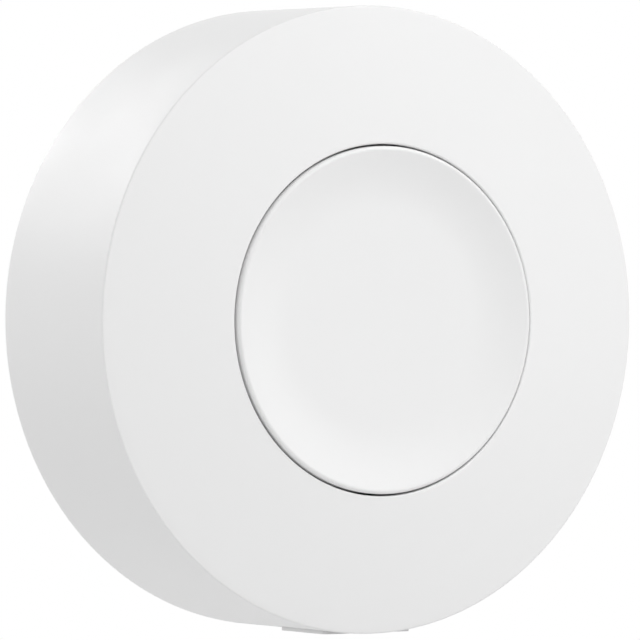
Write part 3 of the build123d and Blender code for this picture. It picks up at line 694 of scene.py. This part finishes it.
class BUTTON_OT_front_cover(bpy.types.Operator):
    """Build the deep round cover with its domed face, collar, notch, grooves, bosses and ribs"""

    bl_idname = "smart_button.front_cover"
    bl_label = "Front cover"

    def execute(self, context):
        sizes = context.scene.button_cover
        small = context.scene.button_inner
        inner = COVER_RADIUS - sizes.wall
        edge_depth = -CAP_LOW.y - sizes.setback
        if edge_depth < -COVER_LOW.y - MM:
            raise RuntimeError("The cover's face doesn't meet the packed cover")
        rim_depth = edge_depth - sizes.face_rise
        # The face is a sphere through its rim and the opening's edge
        to_centre = ((COVER_RADIUS**2 - sizes.opening**2) / sizes.face_rise - sizes.face_rise) / 2
        centre = rim_depth - to_centre
        dome = hypot(COVER_RADIUS, to_centre)
        collar = sizes.opening + sizes.collar_wall
        collar_end = edge_depth - sizes.collar_length
        lead_in = (0.15 * MM, 0.4 * MM)
        corner = 0.4 * MM

        def dome_depth(r, inset=0.0):
            return centre + sqrt((dome - inset) ** 2 - r * r)

        # The dome stays clear of the roundings at its rim and its opening by this many of their radii
        clear = 2.4
        start = COVER_RADIUS - clear * sizes.rim_radius
        end = sizes.opening + clear * sizes.opening_round
        section = [
            (inner + lead_in[0], COVER_REAR, FINE_EDGE),
            (COVER_RADIUS, COVER_REAR, sizes.rear_round),
            (COVER_RADIUS, rim_depth, sizes.rim_radius),
            *((r, dome_depth(r), 0) for r in spread(start, end, 24)),
            (sizes.opening, edge_depth, sizes.opening_round),
            (sizes.opening, collar_end, SOFT_EDGE),
            (collar, collar_end, SOFT_EDGE),
            (collar, dome_depth(collar, sizes.wall), FILLET),
            (inner, dome_depth(inner, sizes.wall), corner),
            (inner, COVER_REAR + lead_in[1], FINE_EDGE),
        ]
        shell = plain_form(turned(rounded(section, close=True), sizes.segments, closed=True), "cover shell")
        self.cut_notch(shell)
        self.cut_grooves(shell, inner)
        mesh = baked(shell, "front_cover_shell", flat_faces=True)
        mesh.materials.clear()
        keep("front_cover_shell", mesh, ["cover"], *COVER_PART, "front_cover")
        self.bosses(dome_depth, sizes, small)
        self.ribs(dome_depth, inner, collar, sizes, small)
        return {"FINISHED"}

    def cut_notch(self, shell):
        """Cut the release tab's notch, open at the rear, with round front corners."""
        half = TAB_HIGH.x + 0.2 * MM
        front = -TAB_LOW.y + 0.25 * MM
        corner = 0.8 * MM
        top = TAB_LOW.z + 3.0 * MM
        bottom = -COVER_RADIUS - MM
        outline = [(-half, -MM, 0), (half, -MM, 0), (half, front, corner), (-half, front, corner)]
        made = bmesh.new()
        base = made.faces.new([made.verts.new((x, -depth, bottom)) for x, depth in rounded(outline, close=True)])
        grown = bmesh.ops.extrude_face_region(made, geom=[base])
        lifted = [item for item in grown["geom"] if isinstance(item, bmesh.types.BMVert)]
        bmesh.ops.translate(made, verts=lifted, vec=(0, 0, top - bottom))
        cut(shell, made, "Notch")

    def cut_grooves(self, shell, inner):
        """Cut the two grooves for the back plate's keys."""
        half = 1.7 * MM
        reach = 0.75 * MM
        front = -COVER_REAR - 4.7 * MM
        made = bmesh.new()
        for side in (-1, 1):
            near, far = sorted((side * (inner - MM), side * (inner + reach)))
            add_block(made, (near, front, -half), (far, MM, half))
        cut(shell, made, "Grooves")

    def bosses(self, dome_depth, sizes, small):
        """Four round bosses with bores, which the board is screwed to."""
        outer = 2.6 * MM
        bore = 1.0 * MM
        bore_end = BOARD_FRONT + 4.2 * MM
        grid = screw_grid(small.screw_head)
        front = dome_depth(hypot(grid["Width"], grid["Height"]) / 2 + outer, 0.5 * sizes.wall)
        section = rounded([
            (bore, BOARD_FRONT, 0), (outer, BOARD_FRONT, small.edge_round), (outer, front, 0), (0, front, 0),
            (0, bore_end, 0), (bore, bore_end, 0),
        ])
        form = plain_form(turned(section, 64, closed=True), "boss")
        repeat("cover_bosses", GRID, form, "cover", *COVER_PART, **grid)

    def ribs(self, dome_depth, inner, collar, sizes, small):
        """Thin ribs between the wall and the face, and pairs that guide the cap's tabs."""
        thick = 1.0 * MM
        middle = sizes.wall / 2
        start = inner - 3.6 * MM
        end = inner + 0.5 * MM
        outline = [
            (start, BOARD_FRONT), (end, BOARD_FRONT), (end, dome_depth(inner, middle)),
            (start, dome_depth(start, middle)),
        ]
        for label, count, angle in (("cover_side_ribs", 6, 0.0), ("cover_top_rib", 1, pi / 2)):
            made = bmesh.new()
            add_rib(made, outline, thick)
            form = soft_form(made, "rib", small.edge_round)
            repeat(label, RING, form, "cover", *COVER_PART, Count=count, Start=-angle)
        rear = -CAP_HIGH.y - 1.1 * MM
        start = sizes.opening + 0.2 * MM
        end = collar + 2.6 * MM
        offset = 3.2 * MM
        outline = [
            (start, rear), (end, rear), (end, dome_depth(end, middle)), (start, dome_depth(collar, middle))
        ]
        made = bmesh.new()
        for side in (-1, 1):
            add_rib(made, outline, thick, side * offset)
        form = soft_form(made, "guide", FINE_EDGE)
        repeat("cover_guide_ribs", RING, form, "cover", *COVER_PART, Count=3, Start=-pi / 2)


class BUTTON_OT_cap(bpy.types.Operator):
    """Build the dished push cap with its skirt, ribs, pusher and retaining tabs"""

    bl_idname = "smart_button.cap"
    bl_label = "Push cap"

    def execute(self, context):
        sizes = context.scene.button_cap
        floor = -CAP_LOW.y + sizes.proud - sizes.dish_depth
        flat = sizes.flat_radius
        reach = sizes.radius - flat
        under = floor - sizes.plate
        inner = sizes.radius - sizes.skirt_wall
        end = -CAP_HIGH.y
        # The slope grows towards the edge, but less and less: with an ease of 0.5 it would end level
        ease = 1.1

        def dish(r, thick=0.0):
            """Depth of the dish, or of the surface that lies this thick behind it."""
            share = max(0.0, (r - flat) / reach)
            return floor - thick + sizes.dish_depth * (ease * share**2 - share**3 / 3) / (ease - 1 / 3)

        # The dish ends where the edge's rounding starts, and the plate's rear where the skirt's fillet does
        last = sizes.radius - 1.7 * sizes.edge_round
        rear_last = inner - 0.6 * MM
        section = [
            (0, floor, 0), (flat * 0.5, floor, 0), (flat * 0.97, floor, 0),
            *((r, dish(r), 0) for r in spread(flat, last, 24)),
            (sizes.radius, dish(sizes.radius), sizes.edge_round),
            (sizes.radius, end, SOFT_EDGE),
            (inner, end, SOFT_EDGE),
            (inner, dish(inner, sizes.plate), FILLET),
            *((r, dish(r, sizes.plate), 0) for r in reversed(spread(flat, rear_last, 8))),
            (0, under, 0),
        ]
        shell = plain_form(turned(rounded(section), sizes.segments), "cap shell")
        keep("button_cap_shell", baked(shell, "button_cap_shell", flat_faces=True), ["cap"], *CAP_PART, "button_cap")
        self.ribs(sizes, under, inner, dish)
        self.posts(sizes, under, end)
        return {"FINISHED"}

    def ribs(self, sizes, under, inner, dish):
        """Ribs that run from the pusher to the skirt."""
        start = 5.6 * MM
        thick = 0.9 * MM
        rear = under - 1.2 * MM
        outer = inner + sizes.skirt_wall / 2
        sink = sizes.plate / 2
        made = bmesh.new()
        outline = [
            (start, rear), (outer, rear), (outer, dish(inner, sink)), (sizes.flat_radius, under + sink),
            (start, under + sink),
        ]
        add_rib(made, outline, thick)
        form = soft_form(made, "cap rib", FINE_EDGE)
        repeat("cap_ribs", RING, form, "cap", *CAP_PART, Count=sizes.ribs, Start=0.0)

    def posts(self, sizes, under, end):
        """The pusher over the switch, and three tabs that hold the cap behind the collar."""
        pusher = 2.0 * MM
        top = -node_box("switch_plunger")[0].y + 0.05 * MM
        base = under + 0.6 * MM
        section = rounded([(0, top, 0), (pusher, top, SOFT_EDGE), (pusher, base, 0), (0, base, 0)])
        keep("cap_pusher", plain_mesh(turned(section, 64), "cap_pusher"), ["cap"], *CAP_PART)
        half = 2.5 * MM
        thick = 1.2 * MM
        sink = 0.65 * MM
        made = bmesh.new()
        add_block(made, (sizes.radius - sink, -end - thick, -half), (CAP_HIGH.z, -end, half))
        form = soft_form(made, "cap tab", SOFT_EDGE)
        repeat("cap_tabs", RING, form, "cap", *CAP_PART, Count=3, Start=-pi / 2)


class BUTTON_OT_wall_side(bpy.types.Operator):
    """Build the release tab and the back plate with softened edges, and finish the adhesive pad"""

    bl_idname = "smart_button.wall_side"
    bl_label = "Tab and back plate"

    def execute(self, context):
        small = context.scene.button_inner
        softened_copy("release_tab", SOFT_EDGE, "tab", "release_tab", "tab_plastic", segments=3)
        softened_copy("back_plate", small.edge_round, "plate", "wall_plate", "plate_plastic")
        paint_node("adhesive_pad", "foam")
        return {"FINISHED"}


class BUTTON_OT_cells(bpy.types.Operator):
    """Build the two cells with their cans, sleeves and seals"""

    bl_idname = "smart_button.cells"
    bl_label = "Cells"

    def execute(self, context):
        for name, side in (("battery_upper", 1), ("battery_lower", -1)):
            self.cell(name, side, context.scene.button_inner)
        return {"FINISHED"}

    def cell(self, name, side, sizes):
        """A cell whose positive end points to +X or -X."""
        low, high = node_box(name)
        middle = (low + high) / 2
        radius = (high.z - low.z) / 2
        length = high.x - low.x
        can = length - sizes.nub_length
        nub = sizes.nub_radius
        bare = radius - 0.12 * MM
        step = 0.2 * MM
        rim = radius - 1.0 * MM
        seal = can - 0.5 * MM
        band = can * 0.72
        # Radius and distance from the negative end
        section = rounded([
            (0, 0, 0), (radius - 1.4 * MM, 0, 0), (radius - 1.3 * MM, step, 0), (bare, step, sizes.cell_round),
            (bare, sizes.sleeve_start, 0), (radius, sizes.sleeve_start, 0.05 * MM), (radius, band, 0),
            (radius, can - step, sizes.cell_round), (rim, can - step, FINE_EDGE), (rim - step, seal, 0),
            (nub + 1.0 * MM, seal, 0), (nub + 0.8 * MM, can, FINE_EDGE), (nub, can, FINE_EDGE),
            (nub, length, FILLET), (0, length, 0),
        ])

        def material_of(at):
            """The index of the material between a point of the section and the next: can, sleeve, band or seal."""
            out = (section[at][0] + section[at + 1][0]) / 2
            along = (section[at][1] + section[at + 1][1]) / 2
            if along < sizes.sleeve_start * 0.99 or out < nub + 0.9 * MM:
                return 0
            if along > can - 0.6 * MM and out < rim - FINE_EDGE:
                return 3
            return 2 if along > band else 1

        def place(r, along, angle):
            return Vector((
                middle.x + side * (along - length / 2), middle.y + r * cos(angle), middle.z + r * sin(angle)
            ))

        mesh = plain_mesh(turned(section, 128, place, material_of), f"{name}_piece")
        keep(f"{name}_piece", mesh, ["can", "sleeve", "band", "seal"], "front_unit", "cell_can", name)


class BUTTON_OT_screws(bpy.types.Operator):
    """Build the four board screws with round heads and cross recesses"""

    bl_idname = "smart_button.screws"
    bl_label = "Board screws"

    def execute(self, context):
        sizes = context.scene.button_inner
        rear = -SCREWS_HIGH.y
        tip = -SCREWS_LOW.y
        head_end = rear + 1.4 * MM
        section = rounded([
            (0, rear, 0), (sizes.screw_head, rear, 0.6 * MM), (sizes.screw_head, head_end, FINE_EDGE),
            (sizes.screw_shank, head_end, 0), (sizes.screw_shank, tip, FILLET), (0, tip, 0),
        ])
        form = plain_form(turned(section, 64), "screw")
        # The recess's arms taper to this share at their bottom
        taper = 0.55
        half = 1.15 * MM
        arm = sizes.recess_width / 2
        floor = -(rear + sizes.recess_depth)
        for reach_x, reach_z in ((half, arm), (arm, half)):
            made = bmesh.new()
            for vertex in add_block(made, (-reach_x, floor, -reach_z), (reach_x, -rear + MM, reach_z)):
                if vertex.co.y < -rear - 0.1 * MM:
                    vertex.co.x *= taper
                    vertex.co.z *= taper
            cut(form, made, "Recess")
        grid = screw_grid(sizes.screw_head)
        repeat("board_screw_set", GRID, form, "zinc", "front_unit", "screw_steel", "board_screws", **grid)
        return {"FINISHED"}


class BUTTON_OT_board(bpy.types.Operator):
    """Finish the board, the battery tray, the contacts and the small parts, and build the capacitors"""

    bl_idname = "smart_button.board"
    bl_label = "Board and small parts"

    def execute(self, context):
        painted = {
            "circuit_board": "mask", "plate_contact": "nickel", "spring_contact": "nickel",
            "bridge_contact": "nickel", "switch_base": "black", "switch_frame": "steel", "switch_dome": "steel",
            "switch_plunger": "black", "radio_module": "module_mask", "radio_shield": "tin", "antenna": "brass",
            "crystal": "tin", "controller_chip": "epoxy", "status_light": "lens", "reset_base": "black",
            "reset_plunger": "key",
        }
        for node, key in painted.items():
            paint_node(node, key)
        small = context.scene.button_inner
        softened_copy("battery_tray", small.edge_round, "tray", "front_unit", "tray_plastic")
        self.capacitors()
        return {"FINISHED"}

    def capacitors(self):
        """Four chip capacitors with tinned ends."""
        low, high = node_box("chip_capacitors")
        count = 4
        width = 1.25 * MM
        tinned = 0.7
        proud = 0.04
        span = high.z - low.z - width
        half = (high.x - low.x) / 2
        for label, key, parts, grow, replaced in (
            ("bodies", "ceramic", ((-tinned, tinned),), 0.0, ["chip_capacitors"]),
            ("ends", "tin", ((-1, -tinned), (tinned, 1)), proud, []),
        ):
            made = bmesh.new()
            side = width / 2 + (grow - proud) * MM
            for start, stop in parts:
                add_block(made, (start * half, low.y - high.y + (0.05 - grow) * MM, -side), (stop * half, 0.0, side))
            repeat(
                f"capacitor_{label}", GRID, soft_form(made, label, 0.05 * MM), key, "front_unit", "capacitor_ceramic",
                *replaced, Width=MM, Height=span, Columns=1, Rows=count,
                Place=((low.x + high.x) / 2, high.y, (low.z + high.z) / 2),
            )


# Each lamp: its name, its direction as right, up and back, its distance and diameter in metres, its power in watts
LAMPS = [
    ("upper right", (0.7, 0.7, 0.1), 0.9, 0.5, 3.4),
    ("front top", (0.0, 0.6, 0.8), 0.9, 0.5, 2.95),
    ("left", (-1.0, 0.0, 0.1), 0.9, 0.5, 1.9),
    ("right", (1.0, 0.0, 0.1), 0.9, 0.5, 0.85),
    ("front fill", (0.5, 0.5, 0.7), 0.9, 0.5, 0.65),
    ("rear left", (-0.7, 0.35, -0.6), 0.9, 0.35, 1.45),
    ("rear top", (-0.53, 0.53, -0.65), 0.9, 0.35, 1.05),
]


def camera_axes(sizes):
    """The camera's right, up and back directions, and the middle of the cover's rim."""
    yaw, pitch = sizes.camera_yaw, sizes.camera_pitch
    back = Vector((-sin(yaw) * cos(pitch), -cos(yaw) * cos(pitch), sin(pitch)))
    right = Vector((cos(yaw), -sin(yaw), 0))
    up = back.cross(right)
    centre = Vector((0, CAP_LOW.y + sizes.aim_behind, 0))
    return right, up, back, centre


class BUTTON_OT_stage(bpy.types.Operator):
    """Set the pale floor, the studio lamps, the white background and the camera"""

    bl_idname = "smart_button.stage"
    bl_label = "Stage"

    def execute(self, context):
        sizes = context.scene.button_stage
        self.floor(sizes)
        self.world(sizes)
        self.lamps(sizes)
        self.camera(context, sizes)
        context.scene.view_settings.view_transform = "Standard"
        return {"FINISHED"}

    def floor(self, sizes):
        """A matt white disc some way below the button."""
        made = bmesh.new()
        bmesh.ops.create_circle(made, cap_ends=True, segments=128, radius=sizes.floor_radius)
        mesh = raw_mesh(made, "studio_floor")
        mesh.transform(Matrix.Translation((0, 0, CAD_BOX[0][2] - sizes.floor_drop)))
        material, tree, shader, coordinates = new_material("Matt studio card", "#F4F4F4", 0.9)
        add_grain(tree, shader, coordinates, 2 * MM, 0.02 * MM)
        mesh.materials.append(material)
        linked_object("studio_floor", mesh)

    def world(self, sizes):
        """White for the camera and for gloss and glass, an even grey light for the rest."""
        world = bpy.data.worlds.new("Studio")
        world.use_nodes = True
        tree = world.node_tree
        tree.nodes.clear()
        path = add_node(tree, "ShaderNodeLightPath").outputs
        seen = add_node(
            tree, "ShaderNodeMath", {0: path["Is Camera Ray"], 1: path["Is Glossy Ray"]}, operation="MAXIMUM"
        )
        seen = add_node(
            tree, "ShaderNodeMath", {0: seen.outputs[0], 1: path["Is Transmission Ray"]}, operation="MAXIMUM"
        )
        even = add_node(tree, "ShaderNodeBackground", {"Color": (1, 1, 1, 1), "Strength": sizes.ambient})
        white = add_node(tree, "ShaderNodeBackground", {"Color": (1, 1, 1, 1), "Strength": 1.0})
        mix = add_node(
            tree, "ShaderNodeMixShader", {0: seen.outputs[0], 1: even.outputs[0], 2: white.outputs[0]}
        )
        add_node(tree, "ShaderNodeOutputWorld", {"Surface": mix.outputs[0]})
        bpy.context.scene.world = world

    def lamps(self, sizes):
        """Soft lamps placed in the camera's own directions: right, up and back towards the camera."""
        right, up, back, centre = camera_axes(sizes)
        for name, direction, distance, size, power in LAMPS:
            data = bpy.data.lights.new(name, "AREA")
            data.shape = "DISK"
            data.size = size
            data.energy = power
            lamp = linked_object(name, data)
            towards = (right * direction[0] + up * direction[1] + back * direction[2]).normalized()
            lamp.location = centre + towards * distance
            lamp.rotation_euler = towards.to_track_quat("Z", "Y").to_euler()

    def camera(self, context, sizes):
        """The photograph's view."""
        right, up, back, centre = camera_axes(sizes)
        data = bpy.data.cameras.new("camera")
        data.sensor_width = 36
        data.lens = sizes.lens
        data.clip_start = 0.01
        data.clip_end = 20
        camera = linked_object("camera", data)
        camera.location = centre + back * sizes.camera_distance
        aim = centre - right * sizes.aim_left - up * sizes.aim_down
        camera.rotation_euler = (camera.location - aim).to_track_quat("Z", "Y").to_euler()
        context.scene.camera = camera



class BUTTON_PT_panel(bpy.types.Panel):
    """Lists the button's pieces, sizes and colours"""

    bl_idname = "BUTTON_PT_panel"
    bl_label = "Smart Button"
    bl_space_type = "VIEW_3D"
    bl_region_type = "UI"
    bl_category = "Smart Button"

    def draw(self, context):
        layout = self.layout
        for operator in OPERATORS:
            layout.operator(operator.bl_idname)
        for key, group in SIZE_GROUPS.items():
            box = layout.box()
            box.label(text=group.__doc__)
            for prop in group.__annotations__:
                box.prop(getattr(context.scene, key), prop)


OPERATORS = [
    BUTTON_OT_front_cover,
    BUTTON_OT_cap,
    BUTTON_OT_wall_side,
    BUTTON_OT_cells,
    BUTTON_OT_screws,
    BUTTON_OT_board,
    BUTTON_OT_stage,
]


def register():
    """Register the classes and the scene's settings."""
    for group in SIZE_GROUPS.values():
        bpy.utils.register_class(group)
    for key, group in SIZE_GROUPS.items():
        setattr(bpy.types.Scene, key, bpy.props.PointerProperty(type=group))
    for operator in OPERATORS:
        bpy.utils.register_class(operator)
    bpy.utils.register_class(BUTTON_PT_panel)


def unregister():
    """Take the classes and the settings out again."""
    bpy.utils.unregister_class(BUTTON_PT_panel)
    for operator in reversed(OPERATORS):
        bpy.utils.unregister_class(operator)
    for key, group in SIZE_GROUPS.items():
        delattr(bpy.types.Scene, key)
        bpy.utils.unregister_class(group)


def main():
    """Build every piece and the stage."""
    register()
    make_materials(bpy.context.scene.button_finish)
    bpy.ops.smart_button.front_cover()
    bpy.ops.smart_button.cap()
    bpy.ops.smart_button.wall_side()
    bpy.ops.smart_button.cells()
    bpy.ops.smart_button.screws()
    bpy.ops.smart_button.board()
    bpy.ops.smart_button.stage()


if __name__ == "__main__":
    main()
